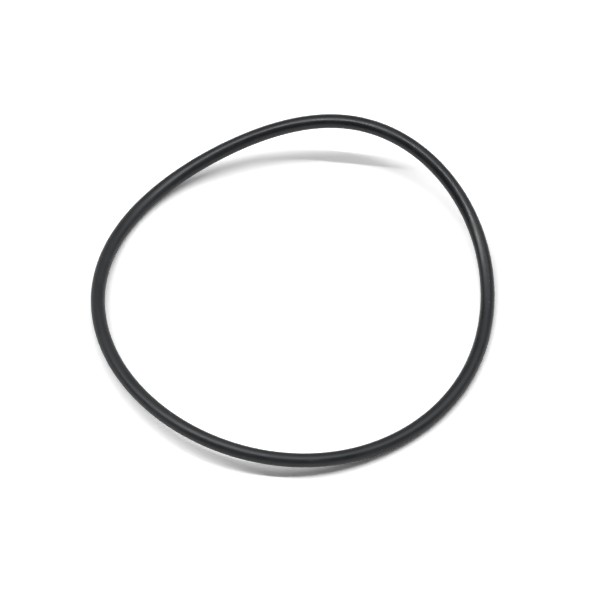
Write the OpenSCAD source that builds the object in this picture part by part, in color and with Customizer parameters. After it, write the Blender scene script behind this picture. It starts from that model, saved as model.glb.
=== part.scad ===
// Rubber o-ring lying free on a table: one moulded ring of round cord.
// The ring leaves its mould flat and round. Off its groove it springs a little out of round
// and out of flat, so it rests on two low stretches with its far side held up.
// Lengths are in millimetres and angles in degrees, counted from +X towards +Y.
// The origin is on the table, under the middle of the ring.

/* [Ring as moulded] */
// Inside diameter of the flat, round ring
inside_d = 94.84; // [60:0.01:150]
// Diameter of the round cord
cord_d = 3.53; // [1.78:0.01:7]

/* [Shape seen from above] */
// How far the oval reaches past the mean circle at the ends of its long axis
oval_reach = 0.75; // [0:0.05:3]
// Direction of the oval's long axis
oval_turn = 25; // [0:1:180]
// How far the three rounded corners reach past the mean circle
three_corner_reach = 0.9; // [0:0.05:2]
// Direction of the first of the three corners
three_corner_turn = 31; // [0:1:120]
// How far the four rounded corners reach past the mean circle
four_corner_reach = 0.3; // [0:0.05:1.5]
// Direction of the first of the four corners
four_corner_turn = 47; // [0:1:90]
// How far the five rounded corners reach past the mean circle
five_corner_reach = 0.25; // [0:0.05:1]
// Direction of the first of the five corners
five_corner_turn = 42; // [0:1:72]

/* [Lift off the table] */
// Rise of the high side above the middle, in the lean at which the bent ring is in balance
lean_rise = 3.7; // [0:0.05:8]
// Direction of the high side of the lean
lean_turn = 80; // [0:1:360]
// Rise of the saddle's two raised ends above its middle
saddle_rise = 5.35; // [0:0.05:10]
// Direction of the saddle's first raised end
saddle_turn = 67; // [0:1:180]
// Rise of the three crests of the three-fold wave
three_wave_rise = 1.85; // [0:0.05:4]
// Direction of the first of the three crests
three_wave_turn = 74; // [0:1:120]
// Rise of the four crests of the four-fold wave
four_wave_rise = 1.05; // [0:0.05:3]
// Direction of the first of the four crests
four_wave_turn = 72; // [0:1:90]

/* [Hidden] */

// Stations along the ring, and sides around the cord at each: both stay within 0.012 mm of the true curve
stations = 144;
cord_sides = 28;

cord_r = cord_d / 2;
mean_r = inside_d / 2 + cord_r;
moulded_length = 2 * PI * mean_r;
rubber_black = "#3a3c3e";
up = [0, 0, 1];

station_angles = [for (i = [0:stations - 1]) 360 * i / stations];

// One wave around the ring, highest in the given direction
function wave(folds, height, turn, angle) = height * cos(folds * (angle - turn));

function unit(v) = v / norm(v);

function total(list) = list * [for (item = list) 1];

// How far the centreline stands outside the mean circle
function corner_reach(angle) =
    wave(2, oval_reach, oval_turn, angle)
    + wave(3, three_corner_reach, three_corner_turn, angle)
    + wave(4, four_corner_reach, four_corner_turn, angle)
    + wave(5, five_corner_reach, five_corner_turn, angle);

// How far the centreline stands above its mean height
function lift(angle) =
    wave(1, lean_rise, lean_turn, angle)
    + wave(2, saddle_rise, saddle_turn, angle)
    + wave(3, three_wave_rise, three_wave_turn, angle)
    + wave(4, four_wave_rise, four_wave_turn, angle);

// Point of the centreline, about the middle of its mean circle
function bent_point(angle, radius) =
    let (reach = radius + corner_reach(angle))
    [reach * cos(angle), reach * sin(angle), lift(angle)];

function bent_length(radius) =
    let (loop = [for (angle = station_angles) bent_point(angle, radius)])
    total([for (i = [0:stations - 1]) norm(loop[(i + 1) % stations] - loop[i])]);

// Mean radius at which the bent cord is as long as the moulded one: bending doesn't stretch it
function bent_radius(radius, rounds) =
    rounds == 0
        ? radius
        : bent_radius(radius - (bent_length(radius) - moulded_length) / (2 * PI), rounds - 1);

free_r = bent_radius(mean_r, 4);

// Extents of the centreline, from which the ring is centred and set down on the table
free_loop = [for (angle = station_angles) bent_point(angle, free_r)];
low_corner = [for (axis = [0:2]) min([for (p = free_loop) p[axis]])];
high_corner = [for (axis = [0:2]) max([for (p = free_loop) p[axis]])];
set_down = [
    -(low_corner[0] + high_corner[0]) / 2,
    -(low_corner[1] + high_corner[1]) / 2,
    cord_r - low_corner[2]
];

function centreline(angle) = bent_point(angle, free_r) + set_down;

function heading(angle) = unit(centreline(angle + 0.1) - centreline(angle - 0.1));

// The cord's round section at one station, square to the cord, starting at its outer side
function section(angle) =
    let (
        middle = centreline(angle),
        along = heading(angle),
        outward = unit(cross(along, up)),
        over = cross(outward, along)
    )
    [
        for (side = [0:cord_sides - 1])
            let (turn = 360 * side / cord_sides)
            middle + cord_r * (cos(turn) * outward + sin(turn) * over)
    ];

// Number of a point on the skin, counted on past the last station and the last side
function skin_point(station, side) = (station % stations) * cord_sides + side % cord_sides;

// Round cord swept along the closed centreline, section by section
module swept_cord() {
    skin = [for (angle = station_angles) each section(angle)];
    faces = [
        for (i = [0:stations - 1], j = [0:cord_sides - 1])
            each [
                [skin_point(i, j), skin_point(i, j + 1), skin_point(i + 1, j + 1)],
                [skin_point(i, j), skin_point(i + 1, j + 1), skin_point(i + 1, j)]
            ]
    ];
    polyhedron(points = skin, faces = faces, convexity = 4);
}

module o_ring() {
    color(rubber_black)
        swept_cord();
}

o_ring();
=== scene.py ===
"""Looks of a rubber o-ring that lies free on a white table.

Everything is in metres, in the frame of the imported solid: +Z up from the table, +X to the right
and +Y away from the viewer, with the origin on the table under the middle of the ring.
"""

import logging
import math
from dataclasses import dataclass
from enum import Enum

import bpy
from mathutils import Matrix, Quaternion, Vector


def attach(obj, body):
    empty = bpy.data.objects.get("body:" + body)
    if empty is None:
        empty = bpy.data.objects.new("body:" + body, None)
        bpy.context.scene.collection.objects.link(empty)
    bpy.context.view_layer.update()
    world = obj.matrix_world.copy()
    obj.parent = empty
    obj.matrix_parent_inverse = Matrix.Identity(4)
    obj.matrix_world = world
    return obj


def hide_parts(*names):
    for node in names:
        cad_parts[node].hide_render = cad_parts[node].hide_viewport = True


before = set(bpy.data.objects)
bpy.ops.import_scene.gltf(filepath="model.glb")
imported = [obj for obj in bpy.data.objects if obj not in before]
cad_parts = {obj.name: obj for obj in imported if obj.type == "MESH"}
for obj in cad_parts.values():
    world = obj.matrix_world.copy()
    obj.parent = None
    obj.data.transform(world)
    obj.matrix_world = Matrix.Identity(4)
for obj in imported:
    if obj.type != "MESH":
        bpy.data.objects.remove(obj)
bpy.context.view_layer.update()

MM = 0.001

# The sRGB curve: a straight toe, then a power
BYTE_MAX = 255
TOE_END = 0.04045
TOE_SLOPE = 12.92
CURVE_OFFSET = 0.055
CURVE_POWER = 2.4

# Places of a Mix node's outputs, which all have the same name
MIXED_NUMBER = 0
MIXED_COLOUR = 2

# The ring's attributes: the cosine and sine of a point's turn along the ring and around the cord
ALONG = "turn_along_the_ring"
AROUND = "turn_around_the_cord"

log = logging.getLogger("o_ring")


def linear(colour: str) -> tuple[float, float, float, float]:
    """Turns an sRGB hex colour into the linear one that Blender's sockets take.

    Args:
        colour: The colour as "#rrggbb".

    Returns:
        Linear red, green and blue, and an alpha of one.
    """
    written = (byte / BYTE_MAX for byte in bytes.fromhex(colour.lstrip("#")))
    red, green, blue = (
        level / TOE_SLOPE
        if level <= TOE_END
        else ((level + CURVE_OFFSET) / (1 + CURVE_OFFSET)) ** CURVE_POWER
        for level in written
    )
    return red, green, blue, 1.0


def add_node(
    tree: bpy.types.NodeTree,
    kind: str,
    settings: dict[str, object] | None = None,
    **inputs: object,
) -> bpy.types.Node:
    """Adds a node to a tree, with its settings and what feeds it.

    Args:
        tree: The tree that gets the node.
        kind: The node's type.
        settings: The node's own properties by name.
        inputs: A value or an output socket for each input, by the input's identifier in lower case
            with its spaces as underscores.

    Returns:
        The new node.
    """
    node = tree.nodes.new(kind)
    for name, value in (settings or {}).items():
        setattr(node, name, value)
    sockets = {s.identifier.lower().replace(" ", "_"): s for s in node.inputs}
    for name, value in inputs.items():
        if isinstance(value, bpy.types.NodeSocket):
            tree.links.new(value, sockets[name])
        else:
            sockets[name].default_value = value
    return node


class Direction(Enum):
    """Which way a wave of the ring's centreline goes."""

    OUTWARD = "reach"
    UPWARD = "rise"


@dataclass(frozen=True)
class Wave:
    """One wave around the ring's centreline, highest at its turn.

    Args:
        name: What the wave makes of the ring.
        direction: Whether it pushes the cord outward or upward.
        folds: How many crests it has on the way round.
        height: How far a crest stands from the mean, in metres.
        turn: Direction of its first crest, counted from +X towards +Y, in radians.
    """

    name: str
    direction: Direction
    folds: int
    height: float
    turn: float

    @property
    def height_input(self) -> str:
        """Name of the tree's input for this wave's height."""
        return f"{self.name} {self.direction.value}"

    @property
    def turn_input(self) -> str:
        """Name of the tree's input for this wave's turn."""
        return f"{self.name} {self.direction.value} turn"

    def at(self, angle: float) -> float:
        """How far the wave stands from the mean at an angle."""
        return self.height * math.cos(self.folds * (angle - self.turn))


def wave(name: str, direction: Direction, folds: int, height_mm: float, turn_deg: float) -> Wave:
    """A wave from its height in millimetres and its turn in degrees."""
    return Wave(name, direction, folds, height_mm * MM, math.radians(turn_deg))


@dataclass(frozen=True)
class Noise:
    """Cloudy noise of one size.

    Args:
        size_mm: Size of its largest clouds, in millimetres.
        octaves: How many finer layers it has.
        fade: How strongly each finer layer shows.
    """

    size_mm: float
    octaves: float
    fade: float

    def inputs(self, unit: float) -> dict[str, float]:
        """Inputs of a noise node whose vector is in metres (unit MM) or millimetres (unit 1)."""
        return {"scale": 1 / (self.size_mm * unit), "detail": self.octaves, "roughness": self.fade}


@dataclass(frozen=True)
class Ramp:
    """The part of a noise's range over which something sets in.

    Args:
        start: Where it starts.
        full: Where it is complete.
    """

    start: float
    full: float

    def inputs(self) -> dict[str, float]:
        """Inputs of a map range node."""
        return {"from_min": self.start, "from_max": self.full}


@dataclass(frozen=True)
class NitrileRubber:
    """Nitrile rubber filled with carbon black, pressed in a blasted steel mould.

    The carbon gives a neutral black that looks charcoal under a lamp. The blasted mould leaves a
    fine even grain, so a highlight spreads into a soft satin band. The rubber flows along the
    groove of the mould, which leaves faint long streaks that break the band up. Wax that comes up
    through the rubber lies on the skin as a thin grey bloom in patches, duller than the rest.

    Args:
        black: Colour of the bare rubber.
        bloom: Colour of the rubber under its bloom.
        fleck: Colour of the few spots where the bloom has crusted.
        ior: Index of refraction of the skin.
        glossiest: Roughness where there is no bloom.
        dullest: Roughness under the thickest bloom.
        grain: Grain of the blasted mould. It is about 0.05 mm wide, which no pixel shows, so it
            is drawn six times as wide.
        grain_depth_mm: Depth of the grain.
        streaks: Streaks along the cord, by their width.
        streak_stretch: Length of a streak over its width.
        streak_depth_mm: Depth of the streaks.
        patches: Patches of the bloom.
        streaked: Share of the streaks in where the bloom lies.
        rubbed: How much of the bloom is rubbed off on one side of the ring.
        rubbed_turn: Direction of that glossier side, counted from +X towards +Y, in radians.
        bloomed: How the bloom's colour sets in.
        dulled: How the bloom's roughness sets in.
        flecks: Spots among which the flecks are picked.
        flecked: How a fleck sets in.
        parting_mm: Width of what is left of the flash where the halves of the mould met.
        parting_height_mm: Its height, rubbed off almost flush.
    """

    black: str = "#1e2023"
    bloom: str = "#232629"
    fleck: str = "#3e4042"
    ior: float = 1.48
    glossiest: float = 0.26
    dullest: float = 0.48
    grain: Noise = Noise(size_mm=0.3, octaves=2.0, fade=0.6)
    grain_depth_mm: float = 0.012
    streaks: Noise = Noise(size_mm=0.55, octaves=3.0, fade=0.6)
    streak_stretch: float = 20.0
    streak_depth_mm: float = 0.03
    patches: Noise = Noise(size_mm=7.0, octaves=4.0, fade=0.55)
    streaked: float = 0.45
    rubbed: float = 0.11
    rubbed_turn: float = math.radians(30)
    bloomed: Ramp = Ramp(start=0.38, full=0.66)
    dulled: Ramp = Ramp(start=0.35, full=0.65)
    flecks: Noise = Noise(size_mm=0.9, octaves=2.0, fade=0.5)
    flecked: Ramp = Ramp(start=0.70, full=0.75)
    parting_mm: float = 0.16
    parting_height_mm: float = 0.03

    def flow(
        self,
        tree: bpy.types.NodeTree,
        along: bpy.types.NodeSocket,
        ring_r: float,
        cord_r: float,
    ) -> tuple[bpy.types.NodeSocket, bpy.types.NodeSocket]:
        """Adds the streaks, on a skin taken as a torus in four dimensions.

        The torus is in millimetres and shortened along the cord, so that the streaks are long and
        close on themselves both ways.

        Args:
            tree: The material's tree.
            along: Turn along the ring.
            ring_r: Mean radius of the ring, in metres.
            cord_r: Radius of the cord, in metres.

        Returns:
            The streaks' noise, and the height over the cord's middle in millimetres.
        """
        around = add_node(tree, "ShaderNodeAttribute", {"attribute_name": AROUND})
        shortened = add_node(
            tree,
            "ShaderNodeVectorMath",
            {"operation": "SCALE"},
            vector=along,
            scale=ring_r / MM / self.streak_stretch,
        )
        section = add_node(
            tree,
            "ShaderNodeVectorMath",
            {"operation": "SCALE"},
            vector=around.outputs["Vector"],
            scale=cord_r / MM,
        )
        parts = add_node(tree, "ShaderNodeSeparateXYZ", vector=section.outputs["Vector"])
        across = add_node(tree, "ShaderNodeCombineXYZ", z=parts.outputs["X"])
        torus = add_node(
            tree,
            "ShaderNodeVectorMath",
            {"operation": "ADD"},
            vector=shortened.outputs["Vector"],
            vector_001=across.outputs["Vector"],
        )
        streaks = add_node(
            tree,
            "ShaderNodeTexNoise",
            {"noise_dimensions": "4D"},
            vector=torus.outputs["Vector"],
            w=parts.outputs["Y"],
            **self.streaks.inputs(1),
        )
        return streaks.outputs["Fac"], parts.outputs["Y"]

    def relief(
        self,
        tree: bpy.types.NodeTree,
        grain: bpy.types.NodeSocket,
        streaks: bpy.types.NodeSocket,
        height: bpy.types.NodeSocket,
    ) -> bpy.types.NodeSocket:
        """Adds the skin's relief: grain, streaks and the parting line round both sides.

        Args:
            tree: The material's tree.
            grain: The grain's noise.
            streaks: The streaks' noise.
            height: Height over the cord's middle, in millimetres.

        Returns:
            The bent normal.
        """
        off_line = add_node(tree, "ShaderNodeMath", {"operation": "ABSOLUTE"}, value=height)
        ridge = add_node(
            tree,
            "ShaderNodeMapRange",
            {"interpolation_type": "SMOOTHSTEP"},
            value=off_line.outputs["Value"],
            from_min=0.0,
            from_max=self.parting_mm / 2,
            to_min=self.parting_height_mm / self.grain_depth_mm,
            to_max=0.0,
        )
        skin = add_node(
            tree,
            "ShaderNodeMath",
            {"operation": "MULTIPLY_ADD"},
            value=streaks,
            value_001=self.streak_depth_mm / self.grain_depth_mm,
            value_002=grain,
        )
        both = add_node(
            tree,
            "ShaderNodeMath",
            {"operation": "ADD"},
            value=skin.outputs["Value"],
            value_001=ridge.outputs["Result"],
        )
        bump = add_node(
            tree,
            "ShaderNodeBump",
            height=both.outputs["Value"],
            distance=self.grain_depth_mm * MM,
        )
        return bump.outputs["Normal"]

    def material(self, ring_r: float, cord_r: float) -> bpy.types.Material:
        """Builds the rubber.

        Args:
            ring_r: Mean radius of the ring, in metres.
            cord_r: Radius of the cord, in metres.

        Returns:
            The material, which reads the ring's two turn attributes.
        """
        made = bpy.data.materials.new("moulded_nitrile_rubber")
        made.use_nodes = True
        tree = made.node_tree
        tree.nodes.clear()

        along = add_node(
            tree, "ShaderNodeAttribute", {"attribute_name": ALONG}
        ).outputs["Vector"]
        streaks, height = self.flow(tree, along, ring_r, cord_r)
        place = add_node(tree, "ShaderNodeTexCoord").outputs["Object"]
        patches = add_node(
            tree, "ShaderNodeTexNoise", vector=place, **self.patches.inputs(MM)
        ).outputs["Fac"]
        grain = add_node(
            tree, "ShaderNodeTexNoise", vector=place, **self.grain.inputs(MM)
        ).outputs["Fac"]
        spots = add_node(
            tree, "ShaderNodeTexNoise", vector=place, **self.flecks.inputs(MM)
        ).outputs["Fac"]

        left_on = add_node(
            tree,
            "ShaderNodeMix",
            {"data_type": "FLOAT"},
            factor_float=self.streaked,
            a_float=patches,
            b_float=streaks,
        )
        rubbed_side = add_node(
            tree,
            "ShaderNodeVectorMath",
            {"operation": "DOT_PRODUCT"},
            vector=along,
            vector_001=(math.cos(self.rubbed_turn), math.sin(self.rubbed_turn), 0.0),
        )
        wax = add_node(
            tree,
            "ShaderNodeMath",
            {"operation": "MULTIPLY_ADD"},
            value=rubbed_side.outputs["Value"],
            value_001=-self.rubbed,
            value_002=left_on.outputs[MIXED_NUMBER],
        ).outputs["Value"]
        cover = add_node(
            tree,
            "ShaderNodeMapRange",
            {"interpolation_type": "SMOOTHSTEP"},
            value=wax,
            **self.bloomed.inputs(),
        )
        skin = add_node(
            tree,
            "ShaderNodeMix",
            {"data_type": "RGBA"},
            factor_float=cover.outputs["Result"],
            a_color=linear(self.black),
            b_color=linear(self.bloom),
        )
        crust = add_node(
            tree,
            "ShaderNodeMapRange",
            {"interpolation_type": "SMOOTHSTEP"},
            value=spots,
            **self.flecked.inputs(),
        )
        flecked = add_node(
            tree,
            "ShaderNodeMix",
            {"data_type": "RGBA"},
            factor_float=crust.outputs["Result"],
            a_color=skin.outputs[MIXED_COLOUR],
            b_color=linear(self.fleck),
        )
        roughness = add_node(
            tree,
            "ShaderNodeMapRange",
            value=wax,
            to_min=self.glossiest,
            to_max=self.dullest,
            **self.dulled.inputs(),
        )
        shader = add_node(
            tree,
            "ShaderNodeBsdfPrincipled",
            base_color=flecked.outputs[MIXED_COLOUR],
            roughness=roughness.outputs["Result"],
            normal=self.relief(tree, grain, streaks, height),
            ior=self.ior,
        )
        add_node(tree, "ShaderNodeOutputMaterial", surface=shader.outputs["BSDF"])
        return made


@dataclass(frozen=True)
class SeamlessPaper:
    """White seamless paper, calendered: a flat matt white with no grain that a lens would see.

    The exposure that suits the black ring burns the paper out, so the camera gets a colour above
    white, and only the ring's shadow falls below it. Everything else sees plain white paper.

    Args:
        white: Colour of the paper, as everything but the camera sees it.
        burnt_out: Level of the paper that the camera sees, where 1 is white.
    """

    white: str = "#e8e8e8"
    burnt_out: float = 1.27

    def material(self) -> bpy.types.Material:
        """Builds the paper.

        Returns:
            The material.
        """
        made = bpy.data.materials.new("white_seamless_paper")
        made.use_nodes = True
        tree = made.node_tree
        tree.nodes.clear()
        rays = add_node(tree, "ShaderNodeLightPath")
        colour = add_node(
            tree,
            "ShaderNodeMix",
            {"data_type": "RGBA"},
            factor_float=rays.outputs["Is Camera Ray"],
            a_color=linear(self.white),
            b_color=(self.burnt_out,) * 3 + (1.0,),
        )
        shader = add_node(tree, "ShaderNodeBsdfDiffuse", color=colour.outputs[MIXED_COLOUR])
        add_node(tree, "ShaderNodeOutputMaterial", surface=shader.outputs["BSDF"])
        return made


@dataclass(frozen=True)
class SealingRing:
    """The ring of round cord, as it lies when it is free.

    It leaves its mould flat and round. Free of its groove it springs a little out of round and
    out of flat, with its cord as long as before.

    Args:
        inside_d: Inside diameter as moulded, in metres.
        cord_d: Diameter of the cord, in metres.
        waves: What the free ring adds to the flat circle.
        stations: Stations along the ring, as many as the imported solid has.
        sides: Sides around the cord, more than the solid has, so that it looks round close by.
    """

    inside_d: float = 94.84 * MM
    cord_d: float = 3.53 * MM
    waves: tuple[Wave, ...] = (
        wave("Oval", Direction.OUTWARD, 2, 0.75, 25),
        wave("Three-corner", Direction.OUTWARD, 3, 0.9, 31),
        wave("Four-corner", Direction.OUTWARD, 4, 0.3, 47),
        wave("Five-corner", Direction.OUTWARD, 5, 0.25, 42),
        wave("Lean", Direction.UPWARD, 1, 3.7, 80),
        wave("Saddle", Direction.UPWARD, 2, 5.35, 67),
        wave("Three-fold", Direction.UPWARD, 3, 1.85, 74),
        wave("Four-fold", Direction.UPWARD, 4, 1.05, 72),
    )
    stations: int = 144
    sides: int = 64

    @property
    def cord_r(self) -> float:
        """Radius of the cord."""
        return self.cord_d / 2

    @property
    def moulded_r(self) -> float:
        """Radius of the centreline in the mould."""
        return self.inside_d / 2 + self.cord_r

    def rise(self, direction: Direction, angle: float) -> float:
        """Sum of the waves of one direction at an angle."""
        return sum(w.at(angle) for w in self.waves if w.direction is direction)

    def loop(self, radius: float) -> list[Vector]:
        """Points of the bent centreline about the middle of its mean circle.

        Args:
            radius: Mean radius of the bent ring.

        Returns:
            One point for each station.
        """
        points = []
        for station in range(self.stations):
            angle = math.tau * station / self.stations
            reach = radius + self.rise(Direction.OUTWARD, angle)
            lift = self.rise(Direction.UPWARD, angle)
            points.append(Vector((reach * math.cos(angle), reach * math.sin(angle), lift)))
        return points

    def bent_r(self, rounds: int = 4) -> float:
        """Mean radius at which the bent cord is as long as the moulded one.

        Args:
            rounds: How often the radius is corrected.

        Returns:
            The radius, in metres.
        """
        radius = self.moulded_r
        for _ in range(rounds):
            points = self.loop(radius)
            length = sum((b - a).length for a, b in zip(points, points[1:] + points[:1]))
            radius -= length / math.tau - self.moulded_r
        return radius

    def set_down(self, radius: float) -> Vector:
        """Shift that centres the bent ring and sets it on the table.

        Args:
            radius: Mean radius of the bent ring.

        Returns:
            The shift of every point.
        """
        xs, ys, zs = zip(*self.loop(radius))
        return Vector(
            (-(min(xs) + max(xs)) / 2, -(min(ys) + max(ys)) / 2, self.cord_r - min(zs))
        )

    def wave_group(self) -> bpy.types.NodeTree:
        """Builds the group for one wave: height times the cosine of folds times angle past turn.

        Returns:
            The group, with its inputs Angle, Folds, Height and Turn and its output Rise.
        """
        group = bpy.data.node_groups.new("wave_around_the_ring", "GeometryNodeTree")
        for name in ("Angle", "Folds", "Height", "Turn"):
            group.interface.new_socket(name, in_out="INPUT", socket_type="NodeSocketFloat")
        group.interface.new_socket("Rise", in_out="OUTPUT", socket_type="NodeSocketFloat")
        given = add_node(group, "NodeGroupInput").outputs
        past = add_node(
            group,
            "ShaderNodeMath",
            {"operation": "SUBTRACT"},
            value=given["Angle"],
            value_001=given["Turn"],
        )
        phase = add_node(
            group,
            "ShaderNodeMath",
            {"operation": "MULTIPLY"},
            value=past.outputs["Value"],
            value_001=given["Folds"],
        )
        swing = add_node(
            group, "ShaderNodeMath", {"operation": "COSINE"}, value=phase.outputs["Value"]
        )
        rise = add_node(
            group,
            "ShaderNodeMath",
            {"operation": "MULTIPLY"},
            value=swing.outputs["Value"],
            value_001=given["Height"],
        )
        out = add_node(group, "NodeGroupOutput")
        group.links.new(rise.outputs["Value"], out.inputs["Rise"])
        return group

    def round_vector(
        self, tree: bpy.types.NodeTree, count: bpy.types.NodeSocket
    ) -> tuple[bpy.types.NodeSocket, bpy.types.NodeSocket]:
        """Adds the turn of each point of a closed curve.

        Args:
            tree: The tree that gets the nodes.
            count: The number of points on the curve.

        Returns:
            The turn as an angle, and as a vector of its cosine and sine.
        """
        index = add_node(tree, "GeometryNodeInputIndex")
        share = add_node(
            tree,
            "ShaderNodeMath",
            {"operation": "DIVIDE"},
            value=index.outputs["Index"],
            value_001=count,
        )
        angle = add_node(
            tree,
            "ShaderNodeMath",
            {"operation": "MULTIPLY"},
            value=share.outputs["Value"],
            value_001=math.tau,
        )
        cosine = add_node(
            tree, "ShaderNodeMath", {"operation": "COSINE"}, value=angle.outputs["Value"]
        )
        sine = add_node(
            tree, "ShaderNodeMath", {"operation": "SINE"}, value=angle.outputs["Value"]
        )
        turn = add_node(
            tree, "ShaderNodeCombineXYZ", x=cosine.outputs["Value"], y=sine.outputs["Value"]
        )
        return angle.outputs["Value"], turn.outputs["Vector"]

    def tree(self) -> bpy.types.NodeTree:
        """Builds the tree that bends the circle by its waves and sweeps the cord round it.

        Returns:
            The tree, with an input for each size.
        """
        tree = bpy.data.node_groups.new("sealing_ring", "GeometryNodeTree")
        inputs = {
            "Stations": "NodeSocketInt",
            "Sides": "NodeSocketInt",
            "Mean radius": "NodeSocketFloat",
            "Cord radius": "NodeSocketFloat",
            "Set down": "NodeSocketVector",
            "Rubber": "NodeSocketMaterial",
        }
        for w in self.waves:
            inputs[w.height_input] = inputs[w.turn_input] = "NodeSocketFloat"
        for name, kind in inputs.items():
            tree.interface.new_socket(name, in_out="INPUT", socket_type=kind)
        tree.interface.new_socket("Geometry", in_out="OUTPUT", socket_type="NodeSocketGeometry")
        given = add_node(tree, "NodeGroupInput").outputs

        circle = add_node(
            tree,
            "GeometryNodeCurvePrimitiveCircle",
            resolution=given["Stations"],
            radius=given["Mean radius"],
        )
        angle, turn = self.round_vector(tree, given["Stations"])
        group = self.wave_group()
        sums = {Direction.OUTWARD: given["Mean radius"], Direction.UPWARD: None}
        for w in self.waves:
            one = add_node(tree, "GeometryNodeGroup", {"node_tree": group})
            tree.links.new(angle, one.inputs["Angle"])
            one.inputs["Folds"].default_value = w.folds
            tree.links.new(given[w.height_input], one.inputs["Height"])
            tree.links.new(given[w.turn_input], one.inputs["Turn"])
            so_far = sums[w.direction]
            if so_far is None:
                sums[w.direction] = one.outputs["Rise"]
                continue
            added = add_node(
                tree,
                "ShaderNodeMath",
                {"operation": "ADD"},
                value=so_far,
                value_001=one.outputs["Rise"],
            )
            sums[w.direction] = added.outputs["Value"]
        plan = add_node(
            tree,
            "ShaderNodeVectorMath",
            {"operation": "SCALE"},
            vector=turn,
            scale=sums[Direction.OUTWARD],
        )
        lift = add_node(tree, "ShaderNodeCombineXYZ", z=sums[Direction.UPWARD])
        bent = add_node(
            tree,
            "ShaderNodeVectorMath",
            {"operation": "ADD"},
            vector=plan.outputs["Vector"],
            vector_001=lift.outputs["Vector"],
        )
        placed = add_node(
            tree,
            "ShaderNodeVectorMath",
            {"operation": "ADD"},
            vector=bent.outputs["Vector"],
            vector_001=given["Set down"],
        )
        centreline = add_node(
            tree,
            "GeometryNodeSetPosition",
            geometry=circle.outputs["Curve"],
            position=placed.outputs["Vector"],
        )
        upright = add_node(
            tree,
            "GeometryNodeSetCurveNormal",
            {"mode": "Z_UP"},
            curve=centreline.outputs["Geometry"],
        )
        marked = add_node(
            tree,
            "GeometryNodeStoreNamedAttribute",
            {"data_type": "FLOAT_VECTOR", "domain": "POINT"},
            geometry=upright.outputs["Curve"],
            name=ALONG,
            value=turn,
        )

        section = add_node(
            tree,
            "GeometryNodeCurvePrimitiveCircle",
            resolution=given["Sides"],
            radius=given["Cord radius"],
        )
        _, side_turn = self.round_vector(tree, given["Sides"])
        marked_section = add_node(
            tree,
            "GeometryNodeStoreNamedAttribute",
            {"data_type": "FLOAT_VECTOR", "domain": "POINT"},
            geometry=section.outputs["Curve"],
            name=AROUND,
            value=side_turn,
        )
        skin = add_node(
            tree,
            "GeometryNodeCurveToMesh",
            curve=marked.outputs["Geometry"],
            profile_curve=marked_section.outputs["Geometry"],
        )
        smooth = add_node(
            tree, "GeometryNodeSetShadeSmooth", geometry=skin.outputs["Mesh"]
        )
        real = add_node(
            tree, "GeometryNodeRealizeInstances", geometry=smooth.outputs["Geometry"]
        )
        dressed = add_node(
            tree,
            "GeometryNodeSetMaterial",
            geometry=real.outputs["Geometry"],
            material=given["Rubber"],
        )
        out = add_node(tree, "NodeGroupOutput")
        tree.links.new(dressed.outputs["Geometry"], out.inputs["Geometry"])
        return tree

    def build(self, rubber: NitrileRubber) -> bpy.types.Object:
        """Sweeps the ring and dresses it.

        Args:
            rubber: The finish of the whole ring.

        Returns:
            The ring as a plain mesh.
        """
        radius = self.bent_r()
        values: dict[str, object] = {
            "Stations": self.stations,
            "Sides": self.sides,
            "Mean radius": radius,
            "Cord radius": self.cord_r,
            "Set down": tuple(self.set_down(radius)),
            "Rubber": rubber.material(radius, self.cord_r),
        }
        for w in self.waves:
            values[w.height_input] = w.height
            values[w.turn_input] = w.turn
        ring = bpy.data.objects.new("moulded_ring", bpy.data.meshes.new("moulded_ring"))
        bpy.context.scene.collection.objects.link(ring)
        sweep = ring.modifiers.new("sweep", "NODES")
        sweep.node_group = self.tree()
        for item in sweep.node_group.interface.items_tree:
            if item.in_out == "INPUT":
                sweep[item.identifier] = values[item.name]
        evaluated = ring.evaluated_get(bpy.context.evaluated_depsgraph_get())
        skin = bpy.data.meshes.new_from_object(evaluated)
        skin.name = "moulded_ring"
        ring.modifiers.remove(sweep)
        ring.data = skin
        return ring


@dataclass(frozen=True)
class Table:
    """The white table that the ring lies on.

    Args:
        side: Length of its side, in metres.
    """

    side: float = 12.0

    def build(self, paper: SeamlessPaper) -> bpy.types.Object:
        """Lays the table's top at height zero.

        Args:
            paper: The finish of the top.

        Returns:
            The table.
        """
        half = self.side / 2
        corners = [(-half, -half, 0), (half, -half, 0), (half, half, 0), (-half, half, 0)]
        top = bpy.data.meshes.new("table")
        top.from_pydata(corners, [], [(0, 1, 2, 3)])
        top.materials.append(paper.material())
        table = bpy.data.objects.new("table", top)
        bpy.context.scene.collection.objects.link(table)
        return table


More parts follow.
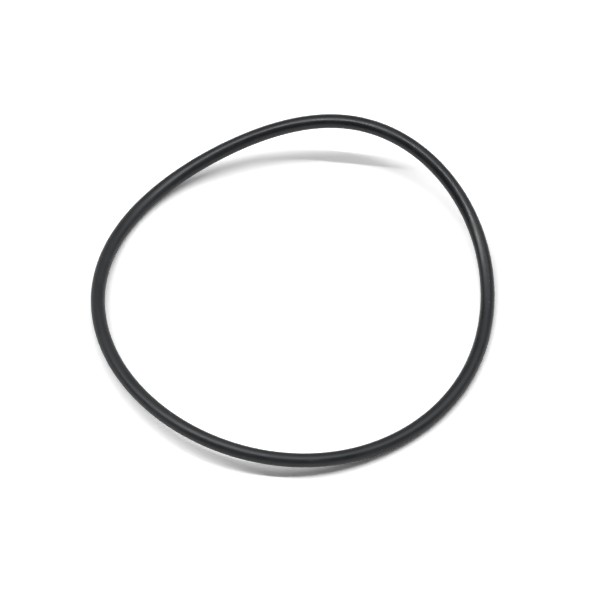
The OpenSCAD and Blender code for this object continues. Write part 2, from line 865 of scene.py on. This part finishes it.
@dataclass(frozen=True)
class Lamp:
    """A flat soft lamp that hangs level over the table.

    Its place and size are given as parts of its height, so that they say what the ring sees.

    Args:
        name: What it is.
        right: How far its middle stands right of the ring.
        far: How far its middle stands beyond the ring.
        half_length: Half its length.
        half_width: Half its width.
        turn: Direction of its length, counted from +X towards +Y, in radians.
        share: Light level that it gives the table under the ring.
    """

    name: str
    right: float
    far: float
    half_length: float
    half_width: float
    turn: float
    share: float

    def reach(self, steps: int = 24) -> float:
        """How much of the lamp's light the table gets, compared with a small lamp straight above.

        Args:
            steps: Number of points along the lamp, and across it, that stand for it.

        Returns:
            The part, from 0 to 1.
        """
        total = 0.0
        for i in range(steps):
            for j in range(steps):
                along = self.half_length * ((2 * i + 1) / steps - 1)
                across = self.half_width * ((2 * j + 1) / steps - 1)
                right = self.right + along * math.cos(self.turn) - across * math.sin(self.turn)
                far = self.far + along * math.sin(self.turn) + across * math.cos(self.turn)
                total += 1 / (1 + right**2 + far**2) ** 2
        return total / steps**2

    def build(self, height: float) -> None:
        """Hangs the lamp.

        Args:
            height: Its height over the table, in metres.
        """
        data = bpy.data.lights.new(self.name, "AREA")
        data.shape = "RECTANGLE"
        data.size = 2 * self.half_length * height
        data.size_y = 2 * self.half_width * height
        data.energy = self.share * (math.pi * height) ** 2 / self.reach()
        lamp = bpy.data.objects.new(self.name, data)
        lamp.location = Vector((self.right, self.far, 1)) * height
        lamp.rotation_euler.z = self.turn
        lamp.visible_camera = False
        bpy.context.scene.collection.objects.link(lamp)


@dataclass(frozen=True)
class Studio:
    """One long strip lamp nearly overhead, a wide soft one beside it, and a pale room.

    The strip runs from left to right, so a cord that runs the same way gets a narrow highlight
    and a crisp shadow, and one that runs away from the viewer gets broad soft ones.

    Args:
        strip: The long thin lamp that throws the shadows.
        panel: The wide soft lamp.
        height: Height of both over the table, in metres.
        room: Mean level of the light from the walls.
        room_slope: What it gains towards the right, the far side and the ceiling.
        room_colour: Colour of the walls' light.
        backdrop: Level that the camera sees behind the table, where 1 is white.
    """

    strip: Lamp = Lamp(
        name="strip_lamp",
        right=-0.459,
        far=-0.045,
        half_length=0.797,
        half_width=0.01,
        turn=math.radians(-6.2),
        share=0.574,
    )
    panel: Lamp = Lamp(
        name="soft_panel",
        right=-0.054,
        far=0.2,
        half_length=1.397,
        half_width=0.429,
        turn=math.radians(-5),
        share=0.4245,
    )
    height: float = 3.0
    room: float = 0.327
    room_slope: tuple[float, float, float] = (0.156, 0.163, -0.367)
    room_colour: str = "#ffffff"
    backdrop: float = 1.0

    def build(self) -> None:
        """Hangs the lamps and lights the room."""
        self.strip.build(self.height)
        self.panel.build(self.height)

        world = bpy.data.worlds.new("pale_room")
        world.use_nodes = True
        tree = world.node_tree
        tree.nodes.clear()
        place = add_node(tree, "ShaderNodeTexCoord")
        gain = add_node(
            tree,
            "ShaderNodeVectorMath",
            {"operation": "DOT_PRODUCT"},
            vector=place.outputs["Generated"],
            vector_001=self.room_slope,
        )
        level = add_node(
            tree,
            "ShaderNodeMath",
            {"operation": "ADD", "use_clamp": True},
            value=gain.outputs["Value"],
            value_001=self.room,
        )
        rays = add_node(tree, "ShaderNodeLightPath")
        strength = add_node(
            tree,
            "ShaderNodeMapRange",
            value=rays.outputs["Is Camera Ray"],
            to_min=level.outputs["Value"],
            to_max=self.backdrop,
        )
        light = add_node(
            tree,
            "ShaderNodeBackground",
            color=linear(self.room_colour),
            strength=strength.outputs["Result"],
        )
        add_node(tree, "ShaderNodeOutputWorld", surface=light.outputs["Background"])
        bpy.context.scene.world = world


@dataclass(frozen=True)
class Viewpoint:
    """A long lens from far away, looking down on the table from the near side.

    Args:
        elevation: Angle above the table, in radians.
        distance: Distance to the point it looks at, in metres.
        look_x: How far right of the origin the point stands that it looks at, in metres.
        look_y: How far that point stands beyond the origin, in metres.
        pixel: Width of one pixel at that point, in metres.
        roll: How far the lens is rolled to the left, in radians.
        lens_axis: The camera's own axis that it is rolled about.
        frame_px: Width of the frame in pixels.
        sensor_mm: Width of the sensor in millimetres.
        sight: How far the lens sees, in metres. The table's far edge is well within it.
    """

    elevation: float = math.radians(55)
    distance: float = 6.0
    look_x: float = 1.796 * MM
    look_y: float = 4.795 * MM
    pixel: float = 0.2490 * MM
    roll: float = math.radians(0.47)
    lens_axis: tuple[float, float, float] = (0.0, 0.0, 1.0)
    frame_px: int = 600
    sensor_mm: float = 36.0
    sight: float = 60.0

    def build(self) -> None:
        """Sets up the scene's camera."""
        data = bpy.data.cameras.new("long_lens")
        data.sensor_width = self.sensor_mm
        data.lens = self.sensor_mm * self.distance / (self.frame_px * self.pixel)
        data.clip_end = self.sight
        camera = bpy.data.objects.new("long_lens", data)
        back = Vector((0, -math.cos(self.elevation), math.sin(self.elevation)))
        camera.location = Vector((self.look_x, self.look_y, 0)) + back * self.distance
        camera.rotation_mode = "QUATERNION"
        rolled = Quaternion(self.lens_axis, self.roll)
        camera.rotation_quaternion = back.to_track_quat("Z", "Y") @ rolled
        bpy.context.scene.collection.objects.link(camera)
        bpy.context.scene.camera = camera


def main() -> None:
    """Builds the picture piece by piece, and reports once the table, lamps and camera are set."""
    logging.basicConfig(level=logging.INFO, format="%(name)s: %(message)s")
    bpy.context.scene.view_settings.view_transform = "Standard"

    Viewpoint().build()
    Studio().build()
    table = Table().build(SeamlessPaper())
    log.info("table, lamps and camera are set")

    ring = SealingRing().build(NitrileRubber())
    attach(ring, "root")
    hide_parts("o_ring")


if __name__ == "__main__":
    main()
